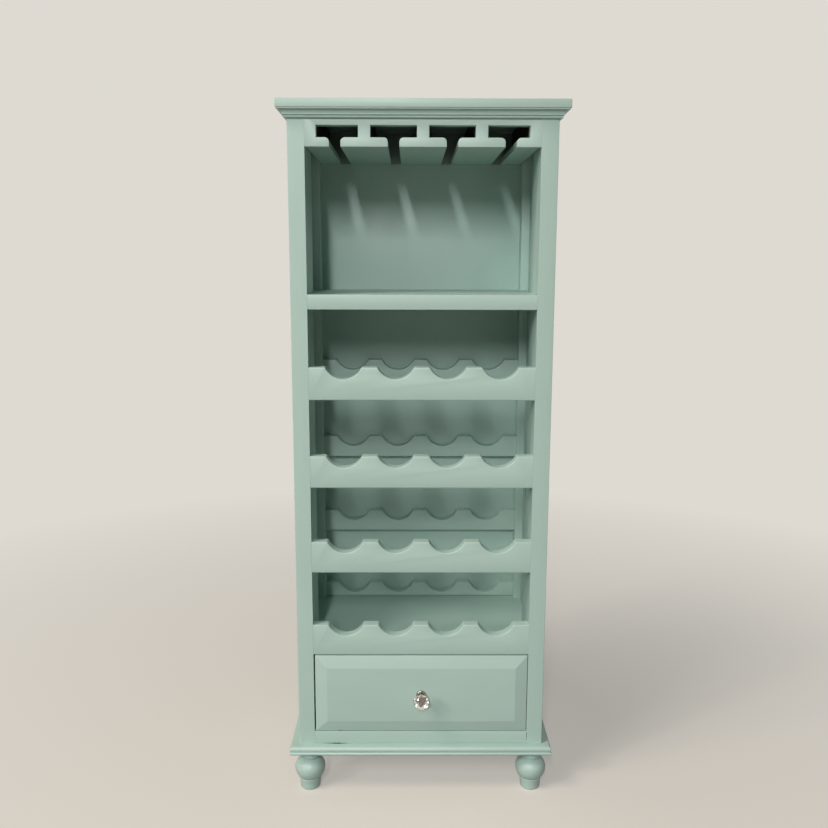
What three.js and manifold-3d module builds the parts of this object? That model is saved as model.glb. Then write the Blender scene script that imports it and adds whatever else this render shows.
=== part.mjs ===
// A tall painted wine cabinet with a stemware rack, four rows of bottle cradles and one drawer.
// Millimetres, +Z up. The front faces -Y, and the face frame's front is the plane that y is counted from
// until the finished group is centred on its own footprint.
import * as THREE from 'three';
import { mergeVertices } from 'three/addons/utils/BufferGeometryUtils.js';
import Module from 'manifold-3d';

const wasm = await Module();
wasm.setup();

// Carcass
const bodyWidth = 508;
const bodyDepth = 316;
const jointGap = 0.3;
const backThickness = 6;
const backRebate = 10;

// Face frame
const stileWidth = 32.5;
const frameThickness = 22;
const bottomRailHeight = 27.5;
const drawerOpeningHeight = 170;
const rowPitch = 177;
const shelfRailHeight = 28.5;
const stemwareOpeningHeight = 274;
const stemwareRailHeight = 68;

// Side frames
const frontPostDepth = 90;
const rearPostDepth = 40;
const panelInnerRecess = 17.5;
const panelOuterRecess = 6;

// Base, top and crown moulding
const footHeight = 90;
const baseThickness = 17.5;
const topThickness = 16;
const topOverhang = 19;
const baseOverhang = 19;
const crownHeight = 16.5;
const crownReach = 17;

// Inset from the full overhang as a share of it, and height as a share of the board's thickness
const topEdgeShares = [[0.05, 0], [0, 0.06], [0, 0.94], [0.05, 1]];
const baseEdgeShares = [
  [0.06, 0], [0, 0.06], [0, 0.27], [0.04, 0.33], [0.15, 0.36], [0.15, 0.45],
  [0.07, 0.5], [0.05, 0.7], [0.1, 0.87], [0.2, 0.96], [0.34, 1],
];
// Reach as a share of the crown's reach, and height as a share of its height, from the bottom up
const crownShares = [
  [0, 0], [0.26, 0], [0.34, 0.07], [0.36, 0.14], [0.33, 0.21], [0.27, 0.24], [0.28, 0.29],
  [0.42, 0.31], [0.46, 0.37], [0.45, 0.46], [0.5, 0.6], [0.6, 0.73], [0.76, 0.83], [0.94, 0.88],
  [1, 0.9], [1, 1], [0, 1],
];

// Bottle cradles
const rowCount = 4;
const bottlePitch = 102.5;
const cradleRadius = 39;
const cradleSag = 23;
const cradleLipRadius = 5;
const cradleRailHeight = 65;
const rearRailHeight = 48;
const rearRailThickness = 22;
const rearRailDrop = 16.5;

// Shelves
const stemwareShelfThickness = 18;
const dustBoardThickness = 15;

// Stemware rack
const slotPitch = 110;
const slotNeckWidth = 21.5;
const slotBarHeight = 22;
const slotArm = 43.5;
const slotEndArm = 35;
const hangerThickness = 17;
const hangerEdgeRadius = 8;
const hangerSideGap = 2.5;

// Drawer
const drawerSideGap = 2;
const drawerShift = 0.8;
const drawerTopGap = 1.5;
const drawerEdgeThickness = 12;
const fieldBevel = 25;
const fieldRise = 8;
const drawerWall = 12;
const drawerBoxHeadroom = 19.7;
const drawerBottomThickness = 5;
const drawerBottomLift = 10;
const drawerGrooveDepth = 5;
const runnerWidth = 18;
const runnerHeight = 12;
const rearBottomRailHeight = 82;
const rearBottomRailThickness = 18;

// Turned feet
const footInset = 38.5;
const footBallRadius = 31.8;
const footBallRise = 26.2;
const footBallDrop = 31.6;
const footBallCentre = 46;
const footWaistRadius = 23.6;
const footNeckRadius = 18;
const footPadRadius = 17.9;
const footCupRadius = 22.8;
const footCupBottomRadius = 20.9;
const footCupHeight = 23;
const footCupRound = 3;
const footRingRadius = 20;
const footRingHeight = 73;
const footRingThickness = 10;
const footPlateRadius = 21;
const footPlateThickness = 8;
const footBoltRadius = 4;
const footBoltReach = 38;
const footBoltTop = 13;

// Knob
const knobFlangeRadius = 10.5;
const knobFlangeThickness = 3;
const knobStemRadius = 6;
const knobStemLength = 10;
const knobStemShare = 2 / 3;
const knobCupRadius = 9.5;
const knobCupLength = 3.5;
const crystalRadius = 16.8;
const crystalLength = 24;
const knobScrewRadius = 2;
const knobScrewHeadRadius = 4.5;
const knobScrewHeadThickness = 2.5;
const knobScrewBite = 9;
const screwClearance = 0.4;
const cutOverrun = 2;

// Height and radius of the crystal's facet rings, as shares of its length and its radius
const crystalShares = [[0, 0.45], [0.16, 0.72], [0.42, 0.97], [0.58, 1], [0.84, 0.8], [1, 0.5]];

// Smoothness, in counts
const footSides = 24;
const ballSteps = 5;
const roundSteps = 3;
const cradleSteps = 14;
const edgeSteps = 4;
const crystalFacets = 10;
const smallSides = 16;

// Levels and planes that follow from the sizes
const baseTop = footHeight + baseThickness;
const drawerOpeningBottom = baseTop + bottomRailHeight;
const drawerOpeningTop = drawerOpeningBottom + drawerOpeningHeight;
const shelfRailBottom = drawerOpeningTop + rowCount * rowPitch;
const shelfTop = shelfRailBottom + shelfRailHeight;
const stemwareRailBottom = shelfTop + stemwareOpeningHeight;
const topUnderside = stemwareRailBottom + stemwareRailHeight;
const hangerTop = stemwareRailBottom + hangerThickness;
const dustBoardTop = drawerOpeningTop + dustBoardThickness;
const bodyHalf = bodyWidth / 2;
const openHalf = bodyHalf - stileWidth;
const railHalf = openHalf - jointGap;
const bottlesPerRow = Math.floor(2 * railHalf / bottlePitch);
const slotCount = Math.floor(2 * railHalf / slotPitch);
const insideFront = frameThickness + jointGap;
const backFace = bodyDepth - backThickness;
const insideBack = backFace - jointGap;
const postBack = frameThickness + frontPostDepth;
const rearPostFront = bodyDepth - rearPostDepth;
const drawerHalf = openHalf - drawerSideGap;
const drawerFrontBottom = drawerOpeningBottom + drawerTopGap;
const drawerFrontTop = drawerOpeningTop - drawerTopGap;
const drawerCentre = (drawerFrontBottom + drawerFrontTop) / 2;
const drawerBoxBottom = drawerOpeningBottom + jointGap;
const drawerBoxBack = insideBack - rearBottomRailThickness - 2 * jointGap;
const knobBaseLength = knobFlangeThickness + knobStemLength + knobCupLength;
const knobFront = fieldRise + knobBaseLength + crystalLength + 2 * jointGap;

// Materials
const paint = () => new THREE.MeshStandardMaterial({ color: 0xadc1b3, roughness: 0.55, metalness: 0 });
const oldFinish = () => new THREE.MeshStandardMaterial({ color: 0x33231a, roughness: 0.6, metalness: 0 });
const boxWood = () => new THREE.MeshStandardMaterial({ color: 0x8a6a48, roughness: 0.7, metalness: 0 });
const steel = () => new THREE.MeshStandardMaterial({ color: 0xb8b8b6, roughness: 0.3, metalness: 1 });
const crystal = () => new THREE.MeshStandardMaterial({ color: 0xeef2f2, roughness: 0.05, metalness: 0 });

const cabinet = new THREE.Group();
const drawer = new THREE.Group();

function addMesh(parent, name, geometry, material) {
  const mesh = new THREE.Mesh(geometry, material);
  mesh.name = name;
  parent.add(mesh);
  return mesh;
}

// A square board between two corners
function board(parent, name, low, high, material = paint()) {
  const size = high.map((value, axis) => value - low[axis]);
  const mesh = addMesh(parent, name, new THREE.BoxGeometry(...size), material);
  mesh.position.set(...high.map((value, axis) => (value + low[axis]) / 2));
  return mesh;
}

// An outline in x and z, carried back along y from the front plane
function carried(outline, front, back) {
  const shape = new THREE.Shape(outline);
  const geometry = new THREE.ExtrudeGeometry(shape, { depth: back - front, bevelEnabled: false });
  geometry.rotateX(Math.PI / 2);
  geometry.translate(0, back, 0);
  return geometry;
}

// Pairs along an oval stretch, both ends included
function oval(centreX, centreY, radiusX, radiusY, from, to, steps) {
  return Array.from({ length: steps + 1 }, (_, step) => {
    const angle = from + (to - from) * step / steps;
    return [centreX + radiusX * Math.cos(angle), centreY + radiusY * Math.sin(angle)];
  });
}

const asPoints = (pairs) => pairs.map(([x, y]) => new THREE.Vector2(x, y));

function arc(centreX, centreY, radius, from, to, steps) {
  return asPoints(oval(centreX, centreY, radius, radius, from, to, steps));
}

function mergedGeometry(geometry) {
  const bare = geometry.clone();
  bare.deleteAttribute('normal');
  bare.deleteAttribute('uv');
  return mergeVertices(bare);
}

function toSolid(geometry) {
  const merged = mergedGeometry(geometry);
  return new wasm.Manifold(new wasm.Mesh({
    numProp: 3,
    vertProperties: new Float32Array(merged.attributes.position.array),
    triVerts: new Uint32Array(merged.index.array),
  }));
}

function cut(geometry, cutters) {
  let solid = toSolid(geometry);
  for (const cutter of cutters) solid = solid.subtract(toSolid(cutter));
  const mesh = solid.getMesh();
  const result = new THREE.BufferGeometry();
  result.setAttribute('position', new THREE.BufferAttribute(mesh.vertProperties, 3));
  result.setIndex(new THREE.BufferAttribute(mesh.triVerts, 1));
  result.computeVertexNormals();
  return result;
}

// A turned piece, from a profile of radius and height that starts and ends on the axis
function turned(profile, sides) {
  const geometry = new THREE.LatheGeometry(asPoints(profile), sides);
  geometry.rotateX(Math.PI / 2);
  return geometry;
}

// The same piece lying down, with its height running out to the front
function turnedForward(profile, sides) {
  const geometry = turned(profile, sides);
  geometry.rotateX(Math.PI / 2);
  return geometry;
}

// A board with a moulded edge on its front and both ends, and a square back
function mouldedBoard(edgeShares, overhang, thickness) {
  const geometry = new THREE.BoxGeometry(1, 1, 1, 1, 1, edgeShares.length - 1);
  const position = geometry.attributes.position;
  for (let i = 0; i < position.count; i += 1) {
    const level = Math.round((position.getZ(i) + 1 / 2) * (edgeShares.length - 1));
    const [insetShare, heightShare] = edgeShares[level];
    const reach = overhang * (1 - insetShare);
    const x = Math.sign(position.getX(i)) * (bodyHalf + reach);
    const y = position.getY(i) < 0 ? -reach : bodyDepth;
    position.setXYZ(i, x, y, thickness * heightShare);
  }
  return geometry;
}

// Base board, with a blind hole under each corner for the foot's bolt
const footX = bodyHalf + baseOverhang - footInset;
const footFrontY = footInset - baseOverhang;
const footRearY = bodyDepth - footInset;
const feet = [
  ['front_left', -footX, footFrontY], ['front_right', footX, footFrontY],
  ['rear_left', -footX, footRearY], ['rear_right', footX, footRearY],
];
const boltHoleRadius = footBoltRadius + screwClearance;
const boltHoles = feet.map(([, x, y]) => {
  const depth = footBoltTop + jointGap;
  const hole = new THREE.CylinderGeometry(boltHoleRadius, boltHoleRadius, depth + cutOverrun, smallSides);
  hole.rotateX(Math.PI / 2);
  hole.translate(x, y, (depth - cutOverrun) / 2);
  return hole;
});
const baseGeometry = cut(mouldedBoard(baseEdgeShares, baseOverhang, baseThickness), boltHoles);
addMesh(cabinet, 'base_board', baseGeometry, paint()).position.z = footHeight;

// Turned feet: pad, tapering cup, waist, ball, neck ring and top plate, bored for the bolt
const footTop = footHeight - jointGap;
const waistAngle = Math.acos(footWaistRadius / footBallRadius);
const neckAngle = Math.acos(footNeckRadius / footBallRadius);
const ball = [
  ...oval(0, footBallCentre, footBallRadius, footBallDrop, -waistAngle, 0, ballSteps),
  ...oval(0, footBallCentre, footBallRadius, footBallRise, 0, neckAngle, ballSteps).slice(1),
];
const cupRound = oval(
  footPadRadius, footCupRound, footCupBottomRadius - footPadRadius, footCupRound,
  -Math.PI / 2, 0, roundSteps,
);
const ring = oval(
  footNeckRadius, footRingHeight, footRingRadius - footNeckRadius, footRingThickness / 2,
  -Math.PI / 2, Math.PI / 2, edgeSteps,
);
const footProfile = [
  [0, 0], ...cupRound, [footCupRadius, footCupHeight], ...ball, ...ring,
  [footNeckRadius, footTop - footPlateThickness], [footPlateRadius, footTop - footPlateThickness],
  [footPlateRadius, footTop], [boltHoleRadius, footTop], [boltHoleRadius, footTop - footBoltReach],
  [0, footTop - footBoltReach],
];
const boltBottom = footTop - footBoltReach + jointGap;
const boltTip = footBoltRadius / 2;
const boltLength = footHeight + footBoltTop - boltBottom;
const boltProfile = [
  [0, 0], [footBoltRadius - boltTip, 0], [footBoltRadius, boltTip],
  [footBoltRadius, boltLength], [0, boltLength],
];
for (const [place, x, y] of feet) {
  addMesh(cabinet, `foot_${place}`, turned(footProfile, footSides), paint()).position.set(x, y, 0);
  const bolt = addMesh(cabinet, `foot_bolt_${place}`, turned(boltProfile, smallSides), steel());
  bolt.position.set(x, y, boltBottom);
}

// Top board
const topGeometry = mouldedBoard(topEdgeShares, topOverhang, topThickness);
addMesh(cabinet, 'top_board', topGeometry, paint()).position.z = topUnderside;

// Crown moulding, mitred at the front corners and square at the back
function crownLength(length, mitreStart, mitreEnd) {
  const outline = crownShares.map(([reach, height]) => [reach * crownReach, height * crownHeight]);
  const shape = new THREE.Shape(asPoints(outline));
  const geometry = new THREE.ExtrudeGeometry(shape, { depth: length, bevelEnabled: false });
  const position = geometry.attributes.position;
  for (let i = 0; i < position.count; i += 1) {
    const reach = position.getX(i);
    if (position.getZ(i) > 0) position.setZ(i, length + reach * mitreEnd);
    else position.setZ(i, -reach * mitreStart);
  }
  return geometry;
}

// Turns a moulding so that its reach, height and length run along three given axes, from a start point
function placeMoulding(geometry, reachAxis, lengthAxis, start) {
  const matrix = new THREE.Matrix4().makeBasis(reachAxis, new THREE.Vector3(0, 0, 1), lengthAxis);
  geometry.applyMatrix4(matrix);
  geometry.translate(...start);
  return geometry;
}

const crownBottom = topUnderside - crownHeight - jointGap;
const crownFace = bodyHalf + jointGap;
const crownFront = placeMoulding(
  crownLength(2 * crownFace - jointGap, 1, 1),
  new THREE.Vector3(0, -1, 0), new THREE.Vector3(-1, 0, 0),
  [crownFace - jointGap / 2, -jointGap, crownBottom],
);
addMesh(cabinet, 'crown_moulding_front', crownFront, paint());
const crownSideLength = bodyDepth + jointGap / 2;
const crownLeft = placeMoulding(
  crownLength(crownSideLength, 1, 0),
  new THREE.Vector3(-1, 0, 0), new THREE.Vector3(0, 1, 0),
  [-crownFace, -jointGap / 2, crownBottom],
);
addMesh(cabinet, 'crown_moulding_left', crownLeft, paint());
const crownRight = placeMoulding(
  crownLength(crownSideLength, 0, 1),
  new THREE.Vector3(1, 0, 0), new THREE.Vector3(0, -1, 0),
  [crownFace, bodyDepth, crownBottom],
);
addMesh(cabinet, 'crown_moulding_right', crownRight, paint());

// Face frame: stiles from base to top, rails between them
const frameLow = baseTop + jointGap;
const frameHigh = topUnderside - jointGap;
board(cabinet, 'left_stile', [-bodyHalf, 0, frameLow], [-openHalf, frameThickness, frameHigh]);
board(cabinet, 'right_stile', [openHalf, 0, frameLow], [bodyHalf, frameThickness, frameHigh]);
board(cabinet, 'bottom_rail', [-railHalf, 0, frameLow], [railHalf, frameThickness, drawerOpeningBottom]);
board(cabinet, 'shelf_rail', [-railHalf, 0, shelfRailBottom], [railHalf, frameThickness, shelfTop]);

// A rail whose top edge dips into one rounded cradle for each bottle
function cradleOutline(height) {
  const lift = cradleRadius - cradleSag;
  const reach = Math.sqrt((cradleRadius + cradleLipRadius) ** 2 - (lift + cradleLipRadius) ** 2);
  const lean = Math.atan2(lift + cradleLipRadius, reach);
  const points = asPoints([[-railHalf, 0], [railHalf, 0], [railHalf, height]]);
  for (let bottle = bottlesPerRow - 1; bottle >= 0; bottle -= 1) {
    const x = (bottle - (bottlesPerRow - 1) / 2) * bottlePitch;
    const lipHeight = height - cradleLipRadius;
    points.push(
      ...arc(x + reach, lipHeight, cradleLipRadius, Math.PI / 2, Math.PI - lean, roundSteps),
      ...arc(x, height + lift, cradleRadius, -lean, lean - Math.PI, cradleSteps).slice(1, -1),
      ...arc(x - reach, lipHeight, cradleLipRadius, lean, Math.PI / 2, roundSteps),
    );
  }
  points.push(new THREE.Vector2(-railHalf, height));
  return points;
}

// Four rows of cradles, counted from the top: a rail in the face frame and a lower one at the back
for (let row = 1; row <= rowCount; row += 1) {
  const railBottom = shelfRailBottom - row * rowPitch;
  const frontRail = carried(cradleOutline(cradleRailHeight), 0, frameThickness);
  addMesh(cabinet, `cradle_rail_front_${row}`, frontRail, paint()).position.z = railBottom;
  const rearTop = railBottom + cradleRailHeight - rearRailDrop;
  const rearBottom = row === rowCount ? dustBoardTop + jointGap : rearTop - rearRailHeight;
  const rearRail = carried(cradleOutline(rearTop - rearBottom), backFace - rearRailThickness, insideBack);
  addMesh(cabinet, `cradle_rail_rear_${row}`, rearRail, paint()).position.z = rearBottom;
}

// Stemware rail: T-shaped slots that open downwards, with rounded lips on their arms
const neckHalf = slotNeckWidth / 2;
const slotCentres = Array.from(
  { length: slotCount },
  (_, slot) => (slot - (slotCount - 1) / 2) * slotPitch,
);
const armOf = (slot, side) => {
  const isEnd = (slot === 0 && side < 0) || (slot === slotCount - 1 && side > 0);
  return isEnd ? slotEndArm : slotArm;
};

// The rounded upper edge beside a slot's neck, with the wood lying to the left (-1) or right (1) of it
function slotLip(edge, woodSide) {
  const centre = edge + woodSide * hangerEdgeRadius;
  const from = woodSide < 0 ? 0 : Math.PI / 2;
  const lipHeight = hangerThickness - hangerEdgeRadius;
  return arc(centre, lipHeight, hangerEdgeRadius, from, from + Math.PI / 2, edgeSteps);
}

const barTop = hangerThickness + slotBarHeight;
const stemwareOutline = [new THREE.Vector2(-railHalf, 0)];
slotCentres.forEach((x, slot) => {
  const leftEnd = x - armOf(slot, -1);
  const rightEnd = x + armOf(slot, 1);
  stemwareOutline.push(
    new THREE.Vector2(x - neckHalf, 0),
    ...slotLip(x - neckHalf, -1),
    new THREE.Vector2(leftEnd, hangerThickness),
    new THREE.Vector2(leftEnd, barTop),
    new THREE.Vector2(rightEnd, barTop),
    new THREE.Vector2(rightEnd, hangerThickness),
    ...slotLip(x + neckHalf, 1),
    new THREE.Vector2(x + neckHalf, 0),
  );
});
stemwareOutline.push(
  new THREE.Vector2(railHalf, 0),
  new THREE.Vector2(railHalf, stemwareRailHeight - jointGap),
  new THREE.Vector2(-railHalf, stemwareRailHeight - jointGap),
);
const stemwareGeometry = carried(stemwareOutline, 0, frameThickness);
addMesh(cabinet, 'stemware_rail', stemwareGeometry, paint()).position.z = stemwareRailBottom;

// Hanger boards run back from the rail's arms, and spacers carry them from the top board; the outer
// hangers stop short of the sides
for (let index = 0; index <= slotCount; index += 1) {
  const isFirst = index === 0;
  const isLast = index === slotCount;
  const left = isFirst ? hangerSideGap - openHalf : slotCentres[index - 1] + neckHalf;
  const right = isLast ? openHalf - hangerSideGap : slotCentres[index] - neckHalf;
  const rightEdge = isLast ? asPoints([[right, hangerThickness]]) : slotLip(right, -1);
  const leftEdge = isFirst ? asPoints([[left, hangerThickness]]) : slotLip(left, 1);
  const outline = [...asPoints([[left, 0], [right, 0]]), ...rightEdge, ...leftEdge];
  const hanger = carried(outline, insideFront, insideBack);
  addMesh(cabinet, `stemware_hanger_${index + 1}`, hanger, paint()).position.z = stemwareRailBottom;
  const spacerLeft = isFirst ? -railHalf : slotCentres[index - 1] + slotArm;
  const spacerRight = isLast ? railHalf : slotCentres[index] - slotArm;
  board(
    cabinet, `stemware_spacer_${index + 1}`,
    [isLast ? slotCentres[index - 1] + slotEndArm : spacerLeft, insideFront, hangerTop + jointGap],
    [isFirst ? slotCentres[index] - slotEndArm : spacerRight, insideBack, frameHigh],
    oldFinish(),
  );
}

// Side frames: a front post, a rebated rear post, two rails and a recessed panel on each side
const middle = [postBack + jointGap, rearPostFront - jointGap];
const panelHalf = openHalf + panelInnerRecess;
for (const [side, sign] of [['left', -1], ['right', 1]]) {
  const sidePiece = (name, near, far, y, z, material) => board(
    cabinet, `${side}_${name}`,
    [Math.min(sign * near, sign * far), y[0], z[0]],
    [Math.max(sign * near, sign * far), y[1], z[1]],
    material,
  );
  sidePiece('front_post', openHalf, bodyHalf, [insideFront, postBack], [frameLow, frameHigh]);
  sidePiece('side_bottom_rail', openHalf, bodyHalf, middle, [frameLow, drawerOpeningTop - jointGap]);
  sidePiece('side_top_rail', panelHalf, bodyHalf, middle, [stemwareRailBottom, frameHigh]);
  sidePiece(
    'side_panel', panelHalf, bodyHalf - panelOuterRecess, middle,
    [drawerOpeningTop, stemwareRailBottom - jointGap],
  );
  const postOutline = [
    [openHalf, rearPostFront], [bodyHalf, rearPostFront], [bodyHalf, bodyDepth],
    [openHalf + backRebate, bodyDepth], [openHalf + backRebate, insideBack], [openHalf, insideBack],
  ].map(([x, y]) => [sign * x, y]);
  if (sign < 0) postOutline.reverse();
  const postShape = new THREE.Shape(asPoints(postOutline));
  const postHeight = frameHigh - frameLow;
  const post = new THREE.ExtrudeGeometry(postShape, { depth: postHeight, bevelEnabled: false });
  addMesh(cabinet, `${side}_rear_post`, post, paint()).position.z = frameLow;
  sidePiece(
    'drawer_runner', openHalf - runnerWidth, openHalf - jointGap,
    [insideFront, insideBack - rearBottomRailThickness - jointGap],
    [drawerOpeningBottom - runnerHeight, drawerOpeningBottom], oldFinish(),
  );
}

// The two shelves are notched round the posts, and meet the recessed side panels between them
const [earFront, earBack] = middle;
const earHalf = panelHalf - jointGap;
const shelfSide = [
  [railHalf, insideFront], [railHalf, earFront], [earHalf, earFront],
  [earHalf, earBack], [railHalf, earBack], [railHalf, insideBack],
];
const shelfShape = new THREE.Shape(asPoints([
  ...shelfSide, ...shelfSide.map(([x, y]) => [-x, y]).reverse(),
]));

function shelf(name, bottom, top) {
  const geometry = new THREE.ExtrudeGeometry(shelfShape, { depth: top - bottom, bevelEnabled: false });
  addMesh(cabinet, name, geometry, paint()).position.z = bottom;
}

shelf('stemware_shelf', shelfTop - stemwareShelfThickness, shelfTop);
shelf('dust_board', drawerOpeningTop, dustBoardTop);

// Back panel, and the rear bottom rail that the drawer stops against
const backHalf = openHalf + backRebate - jointGap;
board(cabinet, 'back_panel', [-backHalf, backFace, frameLow], [backHalf, bodyDepth, frameHigh]);
board(
  cabinet, 'rear_bottom_rail', [-railHalf, insideBack - rearBottomRailThickness, frameLow],
  [railHalf, insideBack, frameLow + rearBottomRailHeight], oldFinish(),
);

// Drawer front: one thick board with a raised field and a bevel on all four sides
const knobHoleRadius = knobScrewRadius + screwClearance;
const frontLevels = [[0, drawerEdgeThickness], [0, 0], [fieldBevel, -fieldRise]];
const frontHalfHeight = (drawerFrontTop - drawerFrontBottom) / 2;
const drawerFront = new THREE.BoxGeometry(1, 1, 1, 1, frontLevels.length - 1, 1);
const frontPosition = drawerFront.attributes.position;
for (let i = 0; i < frontPosition.count; i += 1) {
  const level = Math.round((1 / 2 - frontPosition.getY(i)) * (frontLevels.length - 1));
  const [inset, y] = frontLevels[level];
  const x = Math.sign(frontPosition.getX(i)) * (drawerHalf - inset);
  const z = Math.sign(frontPosition.getZ(i)) * (frontHalfHeight - inset);
  frontPosition.setXYZ(i, x, y, z);
}
const frontReach = drawerEdgeThickness + fieldRise + 2 * cutOverrun;
const knobHole = new THREE.CylinderGeometry(knobHoleRadius, knobHoleRadius, frontReach, smallSides);
knobHole.translate(0, (drawerEdgeThickness - fieldRise) / 2, 0);
addMesh(drawer, 'drawer_front', cut(drawerFront, [knobHole]), paint()).position.z = drawerCentre;

// Drawer box: two grooved sides, a bottom that slides into them under the back, and the back
const boxFront = drawerEdgeThickness + jointGap;
const boxTop = drawerOpeningTop - drawerBoxHeadroom;
const boxInside = drawerHalf - drawerWall;
const floorLow = drawerBoxBottom + drawerBottomLift;
const floorHigh = floorLow + drawerBottomThickness;
for (const [side, sign] of [['left', -1], ['right', 1]]) {
  const grooveHalf = boxInside + drawerGrooveDepth;
  const outline = [
    [drawerHalf, drawerBoxBottom], [drawerHalf, boxTop], [boxInside, boxTop],
    [boxInside, floorHigh + jointGap], [grooveHalf, floorHigh + jointGap],
    [grooveHalf, floorLow - jointGap], [boxInside, floorLow - jointGap], [boxInside, drawerBoxBottom],
  ].map(([x, z]) => [sign * x, z]);
  if (sign < 0) outline.reverse();
  const drawerSide = carried(asPoints(outline), boxFront, drawerBoxBack);
  addMesh(drawer, `drawer_side_${side}`, drawerSide, boxWood());
}
const floorHalf = boxInside + drawerGrooveDepth - jointGap;
board(
  drawer, 'drawer_bottom', [-floorHalf, boxFront, floorLow],
  [floorHalf, drawerBoxBack, floorHigh], boxWood(),
);
board(
  drawer, 'drawer_back', [jointGap - boxInside, drawerBoxBack - drawerWall, floorHigh + jointGap],
  [boxInside - jointGap, drawerBoxBack, boxTop], boxWood(),
);

// Knob: metal base with a blind hole for the screw, faceted crystal head, and the screw from inside
const knobBaseProfile = [
  [0, knobScrewBite + jointGap], [knobHoleRadius, knobScrewBite + jointGap], [knobHoleRadius, 0],
  [knobFlangeRadius, 0], [knobFlangeRadius, knobFlangeThickness / 2], [knobStemRadius, knobFlangeThickness],
  [knobStemRadius, knobFlangeThickness + knobStemLength * knobStemShare],
  [knobCupRadius, knobBaseLength - knobCupLength], [knobCupRadius, knobBaseLength], [0, knobBaseLength],
];
const knobBase = addMesh(drawer, 'knob_base', turnedForward(knobBaseProfile, smallSides), steel());
knobBase.position.set(0, -fieldRise - jointGap, drawerCentre);
const crystalRings = crystalShares.map(
  ([height, radius]) => [radius * crystalRadius, height * crystalLength],
);
const crystalGeometry = turnedForward([[0, 0], ...crystalRings, [0, crystalLength]], crystalFacets);
const knobCrystal = addMesh(drawer, 'knob_crystal', crystalGeometry, crystal());
knobCrystal.position.set(0, knobBase.position.y - knobBaseLength - jointGap, drawerCentre);
const screwLength = drawerEdgeThickness + fieldRise + knobScrewBite;
const screwProfile = [
  [0, 0], [knobScrewHeadRadius, 0], [knobScrewHeadRadius, knobScrewHeadThickness],
  [knobScrewRadius, knobScrewHeadThickness], [knobScrewRadius, knobScrewHeadThickness + screwLength],
  [0, knobScrewHeadThickness + screwLength],
];
const knobScrew = addMesh(drawer, 'knob_screw', turnedForward(screwProfile, smallSides), steel());
knobScrew.position.set(0, drawerEdgeThickness + jointGap + knobScrewHeadThickness, drawerCentre);
drawer.position.x = drawerShift;

// The whole stands on z = 0, centred on its footprint from the knob's tip to the back
const wineCabinet = new THREE.Group();
wineCabinet.add(cabinet, drawer);
wineCabinet.position.y = -(bodyDepth - knobFront) / 2;

export default wineCabinet;
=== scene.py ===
import math

import bmesh
import bpy
import numpy as np
from bpy.props import FloatProperty, FloatVectorProperty, IntProperty, PointerProperty
from mathutils import Matrix, Vector


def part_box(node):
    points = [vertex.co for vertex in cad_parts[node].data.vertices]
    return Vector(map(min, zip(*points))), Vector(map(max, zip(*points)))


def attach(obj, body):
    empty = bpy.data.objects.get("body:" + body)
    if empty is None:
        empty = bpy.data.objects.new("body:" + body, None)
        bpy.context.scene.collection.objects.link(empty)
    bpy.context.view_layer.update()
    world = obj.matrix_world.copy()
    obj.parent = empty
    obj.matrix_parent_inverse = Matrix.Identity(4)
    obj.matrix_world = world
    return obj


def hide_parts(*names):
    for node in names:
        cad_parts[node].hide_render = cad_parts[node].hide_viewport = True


bl_info = {
    "name": "Painted wine cabinet",
    "version": (1, 0, 0),
    "blender": (4, 5, 0),
    "location": "View3D > Sidebar > Wine cabinet",
    "description": "Builds the finished surfaces of a painted wine cabinet over its solid parts",
    "category": "Add Mesh",
}

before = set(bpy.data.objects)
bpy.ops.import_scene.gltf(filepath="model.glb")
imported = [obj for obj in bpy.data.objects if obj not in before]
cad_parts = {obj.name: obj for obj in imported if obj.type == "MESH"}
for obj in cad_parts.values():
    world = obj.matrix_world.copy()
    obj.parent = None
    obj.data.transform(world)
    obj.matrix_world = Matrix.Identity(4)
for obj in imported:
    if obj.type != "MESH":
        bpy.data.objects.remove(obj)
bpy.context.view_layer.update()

MM = 0.001
HAIR = 0.1 * MM  # places closer than this are the same
JOINT = 0.3 * MM  # joint line between two boards
MERGE = 1e-7  # points closer than this become one
ROWS = range(1, 5)
FOUR = (-1.5, -0.5, 0.5, 1.5)  # bottles or slots side by side, in pitches from the middle
SIDES = (("left", -1), ("right", 1))
CORNERS = ("front_left", "front_right", "rear_left", "rear_right")

# The frame's face, its opening and its outside, the front posts' back and the side panels' inner faces
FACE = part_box("left_stile")[0].y
INNER = -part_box("left_stile")[1].x
OUTER = -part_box("left_stile")[0].x
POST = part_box("right_front_post")[1].y
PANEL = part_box("right_side_panel")[0].x + HAIR

# Degrees past which an edge stays sharp: on most pieces, and on the drawer's shallow bevel
SHARP = 25
CRISP = 9

# Bounds in metres, a hair outside the faces that they take in: the frame's back, the back panel's face, the
# hangers' lower and upper faces, the top board's lower face, and the case of the drawer up to the dust
# board's lower face.
# The rack's boxes get painted shade, a share of the dark stain for the shade of the closed cavity over the
# glasses;
# the drawer's case is what the brush hardly reached.
BEHIND_FRAME = FACE + 21.9 * MM
BACK_SKIN, BACK_CORE = 0.1761, 0.1768
RACK_FOOT, RACK_FLOOR, RACK_CEILING = 1.3152, 1.3323, 1.3836
CASE_FLOOR, CASE_CEILING = 0.1079, 0.3052
RACK_SHADE = 0.4  # share of the old finish blended in over the glasses: the paint there is thin, and the share also darkens it as painted shade of the closed rack


def linear(hex_colour):
    """Turns an sRGB hex colour to the linear values that the shaders use."""
    value = np.array([int(hex_colour[i:i + 2], 16) for i in (1, 3, 5)]) / 255
    return tuple(np.where(value <= 0.04045, value / 12.92, ((value + 0.055) / 1.055) ** 2.4))


def length(name, description, millimetres):
    """A size that a user can change, given in millimetres."""
    return FloatProperty(name=name, description=description, default=millimetres * MM, unit="LENGTH")


def colour(name, description, hex_colour):
    """A colour that a user can change, given as sRGB hex."""
    return FloatVectorProperty(
        name=name, description=description, default=linear(hex_colour), subtype="COLOR", min=0, max=1)


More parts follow.
